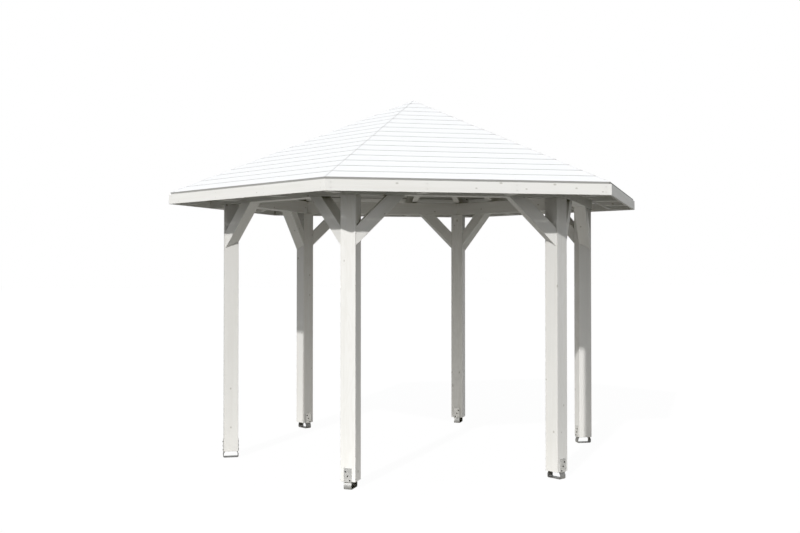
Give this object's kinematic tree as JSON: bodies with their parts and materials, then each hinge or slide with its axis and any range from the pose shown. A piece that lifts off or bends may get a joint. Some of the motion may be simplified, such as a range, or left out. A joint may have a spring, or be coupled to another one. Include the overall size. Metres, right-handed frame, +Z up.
{
  "type": "hexagonal timber garden gazebo",
  "caption": "Open hexagonal garden gazebo in white glazed timber: posts on steel brackets, knee braces, ring beams and a pitched boarded roof.",
  "frame": {"origin": "middle of the plan, on the ground under the bracket bases", "axes": "+Z up, -Y out through the front bay, +X towards the right post; posts stand at 0, 60, 120, 180, 240 and 300 degrees from +X"},
  "size_m": [4.293, 3.7178, 3.1339],
  "materials": {
    "post_timber": "sawn and planed spruce under a thin white glaze, with grey knots and faint grain",
    "frame_timber": "planed spruce under a thin white glaze",
    "fascia_timber": "planed spruce board under a white glaze",
    "roof_board_timber": "white glazed tongue and groove boards with fine joints",
    "bracket_steel": "hot-dip galvanised sheet steel, dull grey"
  },
  "bodies": {
    "root": {"post_front_left": "post_timber", "post_front_right": "post_timber", "post_right": "post_timber", "post_back_right": "post_timber", "post_back_left": "post_timber", "post_left": "post_timber", "bracket_front_left": "bracket_steel", "bracket_front_right": "bracket_steel", "bracket_right": "bracket_steel", "bracket_back_right": "bracket_steel", "bracket_back_left": "bracket_steel", "bracket_left": "bracket_steel", "beam_front": "frame_timber", "beam_front_right": "frame_timber", "beam_back_right": "frame_timber", "beam_back": "frame_timber", "beam_back_left": "frame_timber", "beam_front_left": "frame_timber", "braces_front": "post_timber", "braces_front_right": "post_timber", "braces_back_right": "post_timber", "braces_back": "post_timber", "braces_back_left": "post_timber", "braces_front_left": "post_timber", "hip_rafter_front_left": "frame_timber", "hip_rafter_front_right": "frame_timber", "hip_rafter_right": "frame_timber", "hip_rafter_back_right": "frame_timber", "hip_rafter_back_left": "frame_timber", "hip_rafter_left": "frame_timber", "jack_rafters_front": "frame_timber", "jack_rafters_back": "frame_timber", "roof_boards_front": "roof_board_timber", "roof_boards_front_right": "roof_board_timber", "roof_boards_back_right": "roof_board_timber", "roof_boards_back": "roof_board_timber", "roof_boards_back_left": "roof_board_timber", "roof_boards_front_left": "roof_board_timber", "fascia_front": "fascia_timber", "fascia_front_right": "fascia_timber", "fascia_back_right": "fascia_timber", "fascia_back": "fascia_timber", "fascia_back_left": "fascia_timber", "fascia_front_left": "fascia_timber", "king_block": "frame_timber"}
  },
  "joints": []
}
